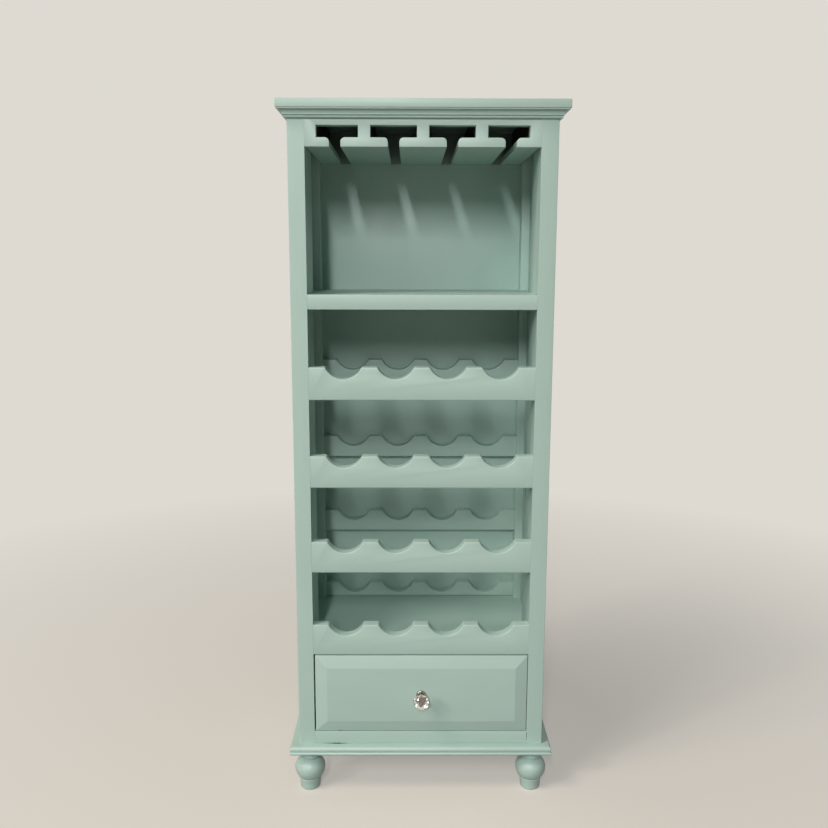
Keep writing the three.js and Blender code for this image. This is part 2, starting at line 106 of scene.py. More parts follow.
class CabinetSizes(bpy.types.PropertyGroup):
    board_easing: length("Board easing", "Radius sanded on the long edges of the boards", 0.8)
    cradle_easing: length("Cradle easing", "Radius rounded on the front edges of the cradle rails", 2.6)
    corner_easing: length("Corner easing", "Radius on the front corners of the moulded boards", 1.5)
    bottle_pitch: length("Bottle pitch", "From one cradle's middle to the next", 102.5)
    cradle_radius: length("Cradle radius", "Radius of the scallop that a bottle lies in", 39)
    cradle_sag: length("Cradle sag", "Depth of the scallop below the rail's top edge", 23)
    cradle_lip: length("Cradle lip", "Radius where a scallop meets the rail's top edge", 5)
    slot_pitch: length("Slot pitch", "From one stemware slot to the next", 110)
    slot_neck: length("Slot neck", "Width of the opening that a glass stem passes", 21.5)
    slot_arm: length("Slot arm", "From a slot's middle to the end of its bar", 43.5)
    slot_end_arm: length("End arm", "The same, beside the cabinet's sides", 35)
    slot_lip: length("Slot lip", "Radius on the wood beside a slot's neck", 8)
    slot_bar: length("Slot bar", "Height of the bar of a slot", 22)
    field_bevel: length("Drawer bevel", "Width of the bevel round the drawer's raised field", 25)
    turning_steps: IntProperty(
        name="Turning steps", description="Points round a turned piece", default=96, min=24, max=256)
    cut_facets: IntProperty(
        name="Cut facets", description="Facets round the crystal knob", default=10, min=6, max=16)


class CabinetColours(bpy.types.PropertyGroup):
    paint: colour("Paint", "Satin mint furniture paint", "#a8c2b9")
    paint_thick: colour("Thick paint", "The paint where the brush left it thick", "#acc5bd")
    old_finish: colour("Old finish", "Dark stain under the paint and where no paint went", "#2e2019")
    old_finish_worn: colour("Worn old finish", "The stain where it has faded", "#4a372b")
    drawer_wood: colour("Drawer wood", "Sealed hardwood of the drawer box", "#9a7a55")
    drawer_wood_dark: colour("Drawer grain", "The late rings of the drawer wood", "#6f5136")
    # Painted reflection: the knob metal is far darker than polished nickel, standing for the dark room that
    # the plate would mirror.
    metal: colour("Knob metal", "Polished nickel plate, gone dark with age", "#8d8a84")
    zinc: colour("Zinc", "Zinc plate of the bolts and the screw", "#b9bab8")
    crystal: colour("Crystal", "Cut glass of the knob, faintly smoky", "#f6f3ee")


class CabinetStage(bpy.types.PropertyGroup):
    backdrop: colour("Backdrop", "Floor and background as the camera sees them", "#dedad2")
    floor_bounce: colour("Floor bounce", "What the floor throws back on the cabinet", "#8d8780")
    ambient: colour("Ambient", "Colour of the soft light from all round", "#e3f2f7")
    ambient_level: FloatProperty(
        name="Ambient level", description="Strength of the soft light from all round", default=0.045)
    key_power: FloatProperty(
        name="Key light", description="Power of the light at the left front", default=135, unit="POWER")
    high_power: FloatProperty(
        name="High light", description="Power of the steep light above the key", default=330, unit="POWER")
    side_power: FloatProperty(
        name="Side light", description="Power of the light high at the left", default=60, unit="POWER")
    accent_power: FloatProperty(
        name="Accent light", description="Power of the small light that draws the knob's shadow",
        default=115, unit="POWER")
    strip_power: FloatProperty(
        name="Strip light", description="Power of the long ceiling light in front", default=410, unit="POWER")


# Surfaces: each is worked out as whole arrays of points, ring after ring

def arc(centre_a, centre_b, radius, start, end, steps):
    """Points at centre + radius * (cos t, sin t), with t running evenly from start to end, both included."""
    t = np.linspace(start, end, steps + 1)
    return np.stack([centre_a + radius * np.cos(t), centre_b + radius * np.sin(t)], axis=-1)


def oval(centre_a, centre_b, reach_a, reach_b, start, end, steps):
    """Points at centre + (reach_a cos t, reach_b sin t), with t running evenly from start to end."""
    t = np.linspace(start, end, steps + 1)
    return np.stack([centre_a + reach_a * np.cos(t), centre_b + reach_b * np.sin(t)], axis=-1)


def swell(start, end, bulge, steps):
    """The chord from start to end, pushed to the right of its travel by bulge * sin(pi t)."""
    t = np.linspace(0, 1, steps + 1)[:, None]
    chord = np.subtract(end, start)
    right = np.array([chord[1], -chord[0]]) / np.hypot(*chord)
    return start + chord * t + right * bulge * np.sin(np.pi * t)


def ring_faces(rings):
    """Quads between neighbouring rings of points, and one flat face over each end."""
    count, around = rings.shape[:2]
    here = np.arange((count - 1) * around).reshape(count - 1, around)
    beside = np.roll(here, -1, axis=1)
    quads = np.stack([here, beside, beside + around, here + around], axis=-1).reshape(-1, 4).tolist()
    last = (count - 1) * around
    return quads + [list(range(around))[::-1], list(range(last, last + around))]


def facet_faces(levels, around):
    """Triangles between rings that are turned by half a step one against the next, and a face over each end.

    With a, b beside each other on one ring and c, d above them, an even ring gives a b c and b d c, and an
    odd one gives a b d and a d c.
    """
    a = np.arange((levels - 1) * around).reshape(levels - 1, around)
    b = np.roll(a, -1, axis=1)
    c, d = a + around, b + around
    even = np.stack([a, b, c, b, d, c], axis=-1)
    odd = np.stack([a, b, d, a, d, c], axis=-1)
    is_even = (np.arange(levels - 1) % 2 == 0)[:, None, None]
    sides = np.where(is_even, even, odd).reshape(-1, 3).tolist()
    last = (levels - 1) * around
    return sides + [list(range(around))[::-1], list(range(last, last + around))]


def make_piece(name, rings, finish, nodes=(), body="cabinet", sharp=SHARP, faces=None):
    """A closed mesh over the rings, faces turned outward, that rides on a body and stands for its nodes."""
    mesh = bpy.data.meshes.new(name)
    mesh.from_pydata(rings.reshape(-1, 3).tolist(), [], faces or ring_faces(rings))
    shell = bmesh.new()
    shell.from_mesh(mesh)
    bmesh.ops.remove_doubles(shell, verts=shell.verts, dist=MERGE)
    if shell.calc_volume(signed=True) < 0:
        bmesh.ops.reverse_faces(shell, faces=shell.faces)
    shell.to_mesh(mesh)
    shell.free()
    if sharp:
        mesh.shade_smooth()
        mesh.set_sharp_from_angle(angle=math.radians(sharp))
    mesh.materials.append(finish)
    piece = bpy.data.objects.new(name, mesh)
    bpy.context.scene.collection.objects.link(piece)
    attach(piece, body)
    if nodes:
        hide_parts(*nodes)
    return piece


def eased_box(low, high, easing, steps=3):
    """A box with all its edges rounded.

    A point is the corner of the box drawn in by the easing, in the octant of the unit sphere's normal at
    (turn, lift), plus the easing times that normal.
    """
    quarter = np.linspace(0, np.pi / 2, steps + 1)
    turn = np.concatenate([quarter + k * np.pi / 2 for k in range(4)])
    lift = np.concatenate([quarter - np.pi / 2, quarter])
    turn, lift = np.meshgrid(turn, lift)
    normal = np.stack([np.cos(lift) * np.cos(turn), np.cos(lift) * np.sin(turn), np.sin(lift)], axis=-1)
    corner = np.ones_like(normal)
    corner[..., 0] = np.repeat([1, -1, -1, 1], steps + 1)
    corner[..., 1] = np.repeat([1, 1, -1, -1], steps + 1)
    corner[..., 2] = np.repeat([-1, 1], steps + 1)[:, None]
    low, high = np.array(low), np.array(high)
    return (low + high) / 2 + corner * ((high - low) / 2 - easing) + easing * normal


def drawn_in(outline, weights):
    """How each point of a closed outline moves when edge i is drawn in by weights[i].

    The move v answers v . n = weight for the inward normals n of the two edges that meet there. Where the
    sine of the turn between them is under the limit, v is their mean normal times their mean weight.
    """
    limit = 0.02
    ahead = np.roll(outline, -1, axis=0)
    along = ahead - outline
    side = np.sign(np.sum(outline[:, 0] * ahead[:, 1] - outline[:, 1] * ahead[:, 0]))
    after = side * np.stack([-along[:, 1], along[:, 0]], axis=-1) / np.hypot(*along.T)[:, None]
    before, weight_before = np.roll(after, 1, axis=0), np.roll(weights, 1)
    turn = before[:, 0] * after[:, 1] - before[:, 1] * after[:, 0]
    straight = np.abs(turn) < limit
    safe = np.where(straight, 1, turn)
    move = np.stack([
        (weight_before * after[:, 1] - weights * before[:, 1]) / safe,
        (weights * before[:, 0] - weight_before * after[:, 0]) / safe,
    ], axis=-1)
    level = (before + after) / 2 * ((weights + weight_before) / 2)[:, None]
    return np.where(straight[:, None], level, move)


def carried(outline, start, end, axis, easing=0.0, weights=None, steps=3):
    """An outline carried along an axis from start to end, with its edges rounded at the start.

    With t from 0 to a quarter turn, the outline is drawn in by easing (1 - cos t) times each edge's weight
    while it lies easing (1 - sin t) behind the start.
    """
    t = np.linspace(0, np.pi / 2, steps + 1) if easing else np.zeros(1)
    weights = np.ones(len(outline)) if weights is None else weights
    inset = np.concatenate([[0], easing * (1 - np.cos(t))])
    place = np.concatenate([[end], start + np.sign(end - start) * easing * (1 - np.sin(t))])
    flat = outline + inset[:, None, None] * drawn_in(outline, weights)
    rings = np.empty(flat.shape[:2] + (3,))
    rings[..., [i for i in range(3) if i != axis]] = flat
    rings[..., axis] = place[:, None]
    return rings


def turned(profile, steps, centre, axis=2):
    """Each profile pair (r, h) goes round the axis as (r cos t, r sin t, h)."""
    t = np.linspace(0, 2 * np.pi, steps, endpoint=False)
    radius, height = np.asarray(profile).T
    across, up = np.outer(radius, np.cos(t)), np.outer(radius, np.sin(t))
    high = np.repeat(height[:, None], steps, axis=1)
    rings = np.stack([across, up, high] if axis == 2 else [across, -high, up], axis=-1)
    return rings + np.array(centre)


def moulded_rings(profile, half, front, back, corner, steps=4):
    """Rings of a board whose front and ends carry a moulding and whose back is square.

    A profile pair (inset, height) gives the ring that lies inset within half and front, at that height, with
    quarter arcs at the two front corners.
    """
    rings = []
    for inset, height in profile:
        edge, near = half - inset, front + inset
        ring = np.concatenate([
            [[edge, back], [-edge, back]],
            arc(-edge + corner, near + corner, corner, np.pi, 1.5 * np.pi, steps),
            arc(edge - corner, near + corner, corner, 1.5 * np.pi, 2 * np.pi, steps),
        ])
        rings.append(np.column_stack([ring, np.full(len(ring), height)]))
    return np.array(rings)


def rounded_rectangle(half_a, half_b, corner, steps=3):
    """Four quarter arcs round the corners of a rectangle."""
    centres = ((1, 1), (-1, 1), (-1, -1), (1, -1))
    return np.concatenate([
        arc(a * (half_a - corner), b * (half_b - corner), corner, k * np.pi / 2, (k + 1) * np.pi / 2, steps)
        for k, (a, b) in enumerate(centres)
    ])


# Finishes

def add(tree, kind, inputs=None, **settings):
    """Adds a node, with its settings, and fills or links its inputs by name or number."""
    node = tree.nodes.new(kind)
    for key, value in settings.items():
        setattr(node, key, value)
    for key, value in (inputs or {}).items():
        if isinstance(value, bpy.types.NodeSocket):
            tree.links.new(value, node.inputs[key])
        else:
            node.inputs[key].default_value = value
    return node


def new_finish(name):
    """A material with one Principled shader, and the place on the object that its patterns follow."""
    material = bpy.data.materials.new(name)
    material.use_nodes = True
    tree = material.node_tree
    tree.nodes.clear()
    shader = add(tree, "ShaderNodeBsdfPrincipled")
    add(tree, "ShaderNodeOutputMaterial", {"Surface": shader.outputs[0]})
    place = add(tree, "ShaderNodeTexCoord").outputs["Object"]
    return material, tree, shader, place


def stretched_noise(tree, place, width, ratio, along, detail=3.0):
    """Noise whose marks are width across and ratio times as long along the given axes."""
    scale = [1 / ratio if axis in along else 1 for axis in range(3)]
    drawn = add(tree, "ShaderNodeMapping", {"Vector": place, "Scale": scale}).outputs[0]
    return add(tree, "ShaderNodeTexNoise", {
        "Vector": drawn, "Scale": 1 / width, "Detail": detail, "Roughness": 0.6}).outputs[0]


def spread(tree, value, low, high, to_low, to_high):
    """Carries a value from one range to another and holds it there."""
    return add(tree, "ShaderNodeMapRange", {
        "Value": value, "From Min": low, "From Max": high, "To Min": to_low, "To Max": to_high}).outputs[0]


def blended(tree, share, first, second):
    """A colour between two, by a share."""
    first, second = (c if isinstance(c, bpy.types.NodeSocket) else (*c, 1) for c in (first, second))
    return add(tree, "ShaderNodeMix", {0: share, 6: first, 7: second}, data_type="RGBA").outputs[2]


def maths(tree, operation, first, second):
    """The sum, product or other operation on two values."""
    return add(tree, "ShaderNodeMath", {0: first, 1: second}, operation=operation).outputs[0]


def shown_background(tree):
    """1 for the rays that show the background: those of the camera, of reflections and through glass."""
    path = add(tree, "ShaderNodeLightPath").outputs
    through = maths(tree, "MAXIMUM", path["Is Glossy Ray"], path["Is Transmission Ray"])
    return maths(tree, "MAXIMUM", path["Is Camera Ray"], through)


def dress(tree, shader, base, roughness, height, depth):
    """Gives a shader its colour, its roughness and a relief whose full height is depth in metres."""
    relief = add(tree, "ShaderNodeBump", {"Height": height, "Distance": depth, "Strength": 1.0}).outputs[0]
    for key, value in (("Base Color", base), ("Roughness", roughness), ("Normal", relief)):
        tree.links.new(value, shader.inputs[key])


def inside(tree, place, low, high):
    """1 inside a box of space, else 0."""
    centre = [(a + b) / 2 for a, b in zip(low, high)]
    half = [(b - a) / 2 for a, b in zip(low, high)]
    share = add(tree, "ShaderNodeMapping", {
        "Vector": place, "Location": centre, "Scale": half}, vector_type="TEXTURE").outputs[0]
    away = add(tree, "ShaderNodeVectorMath", {0: share}, operation="ABSOLUTE").outputs[0]
    parts = add(tree, "ShaderNodeSeparateXYZ", {0: away}).outputs
    furthest = maths(tree, "MAXIMUM", maths(tree, "MAXIMUM", parts[0], parts[1]), parts[2])
    return maths(tree, "LESS_THAN", furthest, 1.0)


# Dark marks where the old stain shows: middle and half sizes in metres. In order, they lie on the base
# board's ledge, the bottom rail's upper edge, the lower edge of row 1's front rail, the foot of the right
# stile and the rear rail of row 1, where the paint has come off; the last is a dark strip along the rear edge
# of the right front post's inner face.
CHIPS = (
    ((-0.1755, FACE, 0.1077), (0.020, 0.0022, 0.0009)),
    ((-0.168, FACE, 0.1370), (0.0042, 0.008, 0.0009)),
    ((0.2185, FACE, 0.8337), (0.0026, 0.005, 0.0013)),
    ((0.2222, FACE, 0.1215), (0.0006, 0.002, 0.012)),
    ((-0.1955, FACE + 0.298, 0.868), (0.0016, 0.003, 0.0030)),
    ((0.2218, POST - 0.005, 0.655), (0.0006, 0.0055, 0.080)),
)


def brushed_paint(name, along):
    """Satin furniture paint, brushed on by hand over an older dark finish.

    The brush leaves tracks along each board, a little thick in some places and scant in others, so the sheen
    is uneven; where the paint is chipped, and in the drawer's case that no brush reached, the old dark stain
    shows.
    Over the glasses and on the back panel above the hangers, a share of the stain is blended in as painted
    shade, for the shade of the closed rack.
    """
    colours = bpy.context.scene.cabinet_colours
    material, tree, shader, place = new_finish(name)
    # Bristle tracks are some 0.7 mm wide; they are drawn 3 mm wide so that they show
    tracks = stretched_noise(tree, place, 3 * MM, 45, along)
    # Laps and thin places, a hand's breadth wide
    laps = stretched_noise(tree, place, 70 * MM, 2.5, along, 2.0)
    thick = maths(tree, "ADD", maths(tree, "MULTIPLY", tracks, 0.35), maths(tree, "MULTIPLY", laps, 0.65))
    paint = blended(tree, spread(tree, thick, 0.35, 0.65, 0, 1), colours.paint, colours.paint_thick)
    grit = stretched_noise(tree, place, 1.6 * MM, 1, (), 2.0)
    nearest = None
    for middle, half in CHIPS:
        share = add(tree, "ShaderNodeMapping", {
            "Vector": place, "Location": middle, "Scale": half}, vector_type="TEXTURE").outputs[0]
        distance = add(tree, "ShaderNodeVectorMath", {0: share}, operation="LENGTH").outputs["Value"]
        nearest = distance if nearest is None else maths(tree, "MINIMUM", nearest, distance)
    ragged = maths(tree, "ADD", nearest, spread(tree, grit, 0.3, 0.7, -0.7, 0.9))
    chipped = spread(tree, ragged, 0.85, 1.1, 1, 0)
    # Nicks the size of a pinhead, few and far between
    nicked = spread(tree, stretched_noise(tree, place, 2.2 * MM, 1, (), 1.0), 0.80, 0.83, 0, 0.8)
    # Painted shade: over the glasses and on the back panel above the hangers, the paint is darkened toward
    # the old stain for the shade of the closed rack; in the drawer's case the stain shows unpainted.
    rack = inside(tree, place, (-PANEL, BEHIND_FRAME, RACK_FLOOR), (PANEL, BACK_CORE, RACK_CEILING))
    behind = inside(tree, place, (-INNER, BACK_SKIN, RACK_FOOT), (INNER, BACK_CORE, RACK_CEILING))
    case = inside(
        tree, place, (-INNER - HAIR, BEHIND_FRAME, CASE_FLOOR), (INNER + HAIR, BACK_CORE, CASE_CEILING))
    painted_rack_shade = maths(tree, "MULTIPLY", maths(tree, "MAXIMUM", rack, behind), RACK_SHADE)
    bare_and_shaded = maths(tree, "MAXIMUM", maths(tree, "MAXIMUM", painted_rack_shade, case), maths(tree, "MAXIMUM", chipped, nicked))
    stain = blended(tree, spread(tree, tracks, 0.4, 0.7, 0, 1), colours.old_finish, colours.old_finish_worn)
    # Satin, a little duller on the laps and along the tracks
    sheen = spread(tree, laps, 0.3, 0.7, 0.34, 0.42)
    roughness = maths(tree, "ADD", sheen, maths(tree, "MULTIPLY", tracks, 0.06))
    relief = maths(tree, "SUBTRACT", tracks, maths(tree, "MULTIPLY", chipped, 1.5))
    dress(tree, shader, blended(tree, bare_and_shaded, paint, stain), roughness, relief, 0.05 * MM)
    return material


def old_stain(name, along):
    """Dark stained softwood with no paint: a dull brown with the grain just showing."""
    colours = bpy.context.scene.cabinet_colours
    material, tree, shader, place = new_finish(name)
    grain = stretched_noise(tree, place, 2.5 * MM, 30, along, 4.0)
    faded = stretched_noise(tree, place, 60 * MM, 3, along, 2.0)
    worn = maths(
        tree, "MULTIPLY", spread(tree, grain, 0.35, 0.7, 0, 1), spread(tree, faded, 0.3, 0.7, 0.4, 1))
    brown = blended(tree, worn, colours.old_finish, colours.old_finish_worn)
    dress(tree, shader, brown, spread(tree, grain, 0.3, 0.7, 0.68, 0.5), grain, 0.12 * MM)
    return material


def sealed_hardwood(name, along):
    """Planed hardwood under a clear sealer: growth rings as long bands, with short dark pores in them."""
    colours = bpy.context.scene.cabinet_colours
    material, tree, shader, place = new_finish(name)
    # Growth rings 6 mm apart, cut along the board and wandering a little
    rings = stretched_noise(tree, place, 14 * MM, 22, along, 3.0)
    bands = maths(tree, "FRACT", maths(tree, "MULTIPLY", rings, 7), 0)
    pores = stretched_noise(tree, place, 1.2 * MM, 12, along, 2.0)
    pore = spread(tree, pores, 0.58, 0.70, 0, 0.7)
    share = maths(tree, "MAXIMUM", spread(tree, bands, 0.1, 1.0, 0, 0.75), pore)
    wood = blended(tree, share, colours.drawer_wood, colours.drawer_wood_dark)
    roughness = spread(tree, bands, 0, 1, 0.42, 0.55)
    dress(tree, shader, wood, roughness, maths(tree, "SUBTRACT", bands, pore), 0.05 * MM)
    return material


def plated_metal(name, tint, smooth, rough):
    """Plated steel: the plate's colour, with fine handling marks that dull the polish in places."""
    material, tree, shader, place = new_finish(name)
    marks = stretched_noise(tree, place, 1.5 * MM, 6, (0,), 3.0)
    handled = tuple(0.82 * c for c in tint)
    plate = blended(tree, spread(tree, marks, 0.45, 0.8, 0, 1), tint, handled)
    shader.inputs["Metallic"].default_value = 1.0
    dress(tree, shader, plate, spread(tree, marks, 0.35, 0.75, smooth, rough), marks, 0.01 * MM)
    return material


def cut_crystal(name):
    """Lead crystal, cut and polished: clear, bright at the facets, with a faint bloom from handling."""
    colours = bpy.context.scene.cabinet_colours
    material, tree, shader, place = new_finish(name)
    bloom = stretched_noise(tree, place, 5 * MM, 1, (), 3.0)
    dulled = tuple(0.93 * c for c in colours.crystal)
    glass = blended(tree, spread(tree, bloom, 0.4, 0.7, 0, 1), colours.crystal, dulled)
    shader.inputs["Transmission Weight"].default_value = 1.0
    shader.inputs["IOR"].default_value = 1.56
    dress(tree, shader, glass, spread(tree, bloom, 0.4, 0.75, 0, 0.06), bloom, 0.01 * MM)
    return material


finishes = {}


def finish(kind, along=()):
    """The finish of that kind with its grain or brush tracks along the given axes, made once."""
    colours = bpy.context.scene.cabinet_colours
    name = "_".join([kind] + ["xyz"[axis] for axis in along])
    if name not in finishes:
        finishes[name] = {
            "brushed_paint": lambda: brushed_paint(name, along),
            "old_stain": lambda: old_stain(name, along),
            "sealed_hardwood": lambda: sealed_hardwood(name, along),
            "nickel_plate": lambda: plated_metal(name, tuple(colours.metal), 0.06, 0.2),
            "zinc_plate": lambda: plated_metal(name, tuple(colours.zinc), 0.25, 0.42),
            "cut_crystal": lambda: cut_crystal(name),
        }[kind]()
    return finishes[name]


def longest(low, high):
    """The axis along which a board is longest, in which its brush tracks or grain run."""
    return (int(np.argmax(np.subtract(high, low))),)


def make_board(node, kind="brushed_paint", body="cabinet"):
    """An eased board in the place of a square one."""
    low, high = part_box(node)
    easing = bpy.context.scene.cabinet_sizes.board_easing
    rings = eased_box(low, high, easing)
    make_piece(f"finished_{node}", rings, finish(kind, longest(low, high)), [node], body)


def give_finish(node, kind, along=()):
    """Gives a CAD piece that keeps its own shape a finish in place of its plain one."""
    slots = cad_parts[node].data.materials
    slots.clear()
    slots.append(finish(kind, along))


def make_shelf(node):
    """A shelf notched round the posts, whose ears meet the recessed side panels between them."""
    low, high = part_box(node)
    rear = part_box("right_rear_post")[0].y
    side = np.array([
        [INNER, low.y], [INNER, POST], [high.x, POST], [high.x, rear], [INNER, rear], [INNER, high.y]])
    outline = np.concatenate([side, (side * [-1, 1])[::-1]])
    middle = (outline + np.roll(outline, -1, axis=0)) / 2
    weights = np.where(middle[:, 1] < low.y + HAIR, 1.0, 0.0)
    easing = bpy.context.scene.cabinet_sizes.board_easing
    rings = carried(outline, high.z, low.z, 2, easing, weights)
    make_piece(f"finished_{node}", rings, finish("brushed_paint", (0,)), [node])


# Outlines in x and z

def opening_levels():
    """Bottom and top of each opening in the face frame, from the drawer's up."""
    rails = [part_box(f"cradle_rail_front_{row}") for row in reversed(ROWS)]
    bottoms = [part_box("bottom_rail")[1].z] + [rail[1].z for rail in rails] + [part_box("shelf_rail")[1].z]
    tops = [rail[0].z for rail in rails] + [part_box("shelf_rail")[0].z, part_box("stemware_rail")[0].z]
    return list(zip(bottoms, tops))


def cradle_outline(bottom, top):
    """A rail's outline: a flat top edge that dips into a circle's arc for each bottle, with round lips."""
    lip_steps, scallop_steps = 8, 44
    sizes = bpy.context.scene.cabinet_sizes
    radius, lip = sizes.cradle_radius, sizes.cradle_lip
    lift = radius - sizes.cradle_sag
    reach = math.sqrt((radius + lip) ** 2 - (lift + lip) ** 2)
    lean = math.atan2(lift + lip, reach)
    parts = [[[-INNER, bottom], [INNER, bottom], [INNER, top]]]
    for bottle in FOUR[::-1]:
        x = bottle * sizes.bottle_pitch
        parts += [
            arc(x + reach, top - lip, lip, np.pi / 2, np.pi - lean, lip_steps),
            arc(x, top + lift, radius, -lean, lean - np.pi, scallop_steps)[1:-1],
            arc(x - reach, top - lip, lip, lean, np.pi / 2, lip_steps),
        ]
    return np.concatenate(parts + [[[-INNER, top]]])


def slot_places():
    """Middle, left end and right end of each stemware slot's bar."""
    sizes = bpy.context.scene.cabinet_sizes
    middles = [share * sizes.slot_pitch for share in FOUR]
    left = [middles[0] - sizes.slot_end_arm] + [x - sizes.slot_arm for x in middles[1:]]
    right = [x + sizes.slot_arm for x in middles[:-1]] + [middles[-1] + sizes.slot_end_arm]
    return list(zip(middles, left, right))


def slot_lip(edge, wood_side, top, steps=8):
    """The quarter round on the wood beside a slot's neck."""
    radius = bpy.context.scene.cabinet_sizes.slot_lip
    start = 0 if wood_side < 0 else np.pi / 2
    return arc(edge + wood_side * radius, top - radius, radius, start, start + np.pi / 2, steps)


def end_weights(outline, half):
    """1 for each edge of an outline, and 0 for those that lie against the stiles."""
    middle = (outline[:, 0] + np.roll(outline[:, 0], -1)) / 2
    return np.where(np.abs(np.abs(middle) - half) < HAIR, 0.0, 1.0)


class CABINET_OT_face_frame(bpy.types.Operator):
    """Build the two stiles and the plain rails of the face frame"""
    bl_idname = "cabinet.face_frame"
    bl_label = "Face frame"

    def execute(self, context):
        easing = context.scene.cabinet_sizes.board_easing
        handled = 1.8  # how much rounder the stiles' outer edges are worn
        openings = opening_levels()
        for side, sign in SIDES:
            node = f"{side}_stile"
            low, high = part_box(node)
            inner = sorted(level for opening in openings for level in opening)
            outline = np.array([
                [OUTER, high.z], [OUTER, low.z], [INNER, low.z],
                *([INNER, z] for z in inner), [INNER, high.z],
            ])
            middle = (outline + np.roll(outline, -1, axis=0)) / 2
            open_here = np.any([(middle[:, 1] > a) & (middle[:, 1] < b) for a, b in openings], axis=0)
            weights = np.where(middle[:, 0] > INNER + MM, handled, np.where(open_here, 1.0, 0.0))
            weights[np.abs(np.roll(outline, -1, axis=0) - outline)[:, 0] > MM] = 0
            rings = carried(outline, low.y, high.y, 1, easing, weights)
            rings[..., 0] *= sign
            make_piece(f"finished_{node}", rings, finish("brushed_paint", (2,)), [node])
        for node in ("bottom_rail", "shelf_rail"):
            low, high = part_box(node)
            outline = np.array([[-INNER, low.z], [INNER, low.z], [INNER, high.z], [-INNER, high.z]])
            rings = carried(outline, low.y, high.y, 1, easing, end_weights(outline, INNER))
            make_piece(f"finished_{node}", rings, finish("brushed_paint", (0,)), [node])
        return {"FINISHED"}


class CABINET_OT_cradle_rails(bpy.types.Operator):
    """Build the scalloped rails that the bottles lie on, front and rear"""
    bl_idname = "cabinet.cradle_rails"
    bl_label = "Cradle rails"

    def execute(self, context):
        easing = context.scene.cabinet_sizes.cradle_easing
        for place in ("front", "rear"):
            for row in ROWS:
                node = f"cradle_rail_{place}_{row}"
                low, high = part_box(node)
                outline = cradle_outline(low.z, high.z)
                rings = carried(outline, low.y, high.y, 1, easing, end_weights(outline, INNER))
                make_piece(f"finished_{node}", rings, finish("brushed_paint", (0,)), [node])
        return {"FINISHED"}


class CABINET_OT_stemware_rack(bpy.types.Operator):
    """Build the slotted rail, the hangers behind it and the spacers that carry them"""
    bl_idname = "cabinet.stemware_rack"
    bl_label = "Stemware rack"

    def execute(self, context):
        sizes = context.scene.cabinet_sizes
        neck, slots = sizes.slot_neck / 2, slot_places()
        low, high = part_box("stemware_rail")
        arm_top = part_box("stemware_hanger_1")[1].z
        bar_top = arm_top + sizes.slot_bar
        parts = [[[-INNER, low.z]]]
        for x, left, right in slots:
            parts += [
                [[x - neck, low.z]], slot_lip(x - neck, -1, arm_top),
                [[left, arm_top], [left, bar_top], [right, bar_top], [right, arm_top]],
                slot_lip(x + neck, 1, arm_top), [[x + neck, low.z]],
            ]
        outline = np.concatenate(parts + [[[INNER, low.z], [INNER, high.z], [-INNER, high.z]]])
        rings = carried(outline, low.y, high.y, 1, sizes.board_easing, end_weights(outline, INNER))
        make_piece("finished_stemware_rail", rings, finish("brushed_paint", (0,)), ["stemware_rail"])
        inner_edges = [edge for x, _, _ in slots for edge in (x - neck, x + neck)]
        edges = [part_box("stemware_hanger_1")[0].x] + inner_edges + [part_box("stemware_hanger_5")[1].x]
        last = len(edges) // 2
        for number in range(1, last + 1):
            node = f"stemware_hanger_{number}"
            low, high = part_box(node)
            left, right = edges[2 * number - 2], edges[2 * number - 1]
            right_edge = [[right, high.z]] if number == last else slot_lip(right, -1, high.z)
            left_edge = [[left, high.z]] if number == 1 else slot_lip(left, 1, high.z)
            outline = np.concatenate([[[left, low.z], [right, low.z]], right_edge, left_edge])
            rings = carried(outline, low.y, high.y, 1)
            make_piece(f"finished_{node}", rings, finish("brushed_paint", (1,)), [node])
            make_board(f"stemware_spacer_{number}", "old_stain")
        return {"FINISHED"}


class CABINET_OT_side_frames(bpy.types.Operator):
    """Build the posts, rails and recessed panels of the two sides"""
    bl_idname = "cabinet.side_frames"
    bl_label = "Side frames"

    def execute(self, context):
        easing, steps = context.scene.cabinet_sizes.board_easing, 3
        for side, sign in SIDES:
            for name in ("front_post", "side_bottom_rail", "side_top_rail", "side_panel"):
                make_board(f"{side}_{name}")
            make_board(f"{side}_drawer_runner", "old_stain")
            node = f"{side}_rear_post"
            low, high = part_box(node)
            panel_low, panel_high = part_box("back_panel")
            step = panel_high.x + JOINT
            rebate = panel_low.y - JOINT
            outline = np.concatenate([
                arc(INNER + easing, low.y + easing, easing, np.pi, 1.5 * np.pi, steps),
                arc(OUTER - easing, low.y + easing, easing, 1.5 * np.pi, 2 * np.pi, steps),
                arc(OUTER - easing, high.y - easing, easing, 0, np.pi / 2, steps),
                [[step, high.y], [step, rebate], [INNER, rebate]],
            ])
            rings = carried(outline, low.z, high.z, 2)
            rings[..., 0] *= sign
            make_piece(f"finished_{node}", rings, finish("brushed_paint", (2,)), [node])
        return {"FINISHED"}


class CABINET_OT_boards(bpy.types.Operator):
    """Build the back panel, the glass shelf, the board over the drawer and the rail behind it"""
    bl_idname = "cabinet.boards"
    bl_label = "Back and shelves"

    def execute(self, context):
        make_board("back_panel")
        make_shelf("stemware_shelf")
        make_shelf("dust_board")
        make_board("rear_bottom_rail", "old_stain")
        return {"FINISHED"}


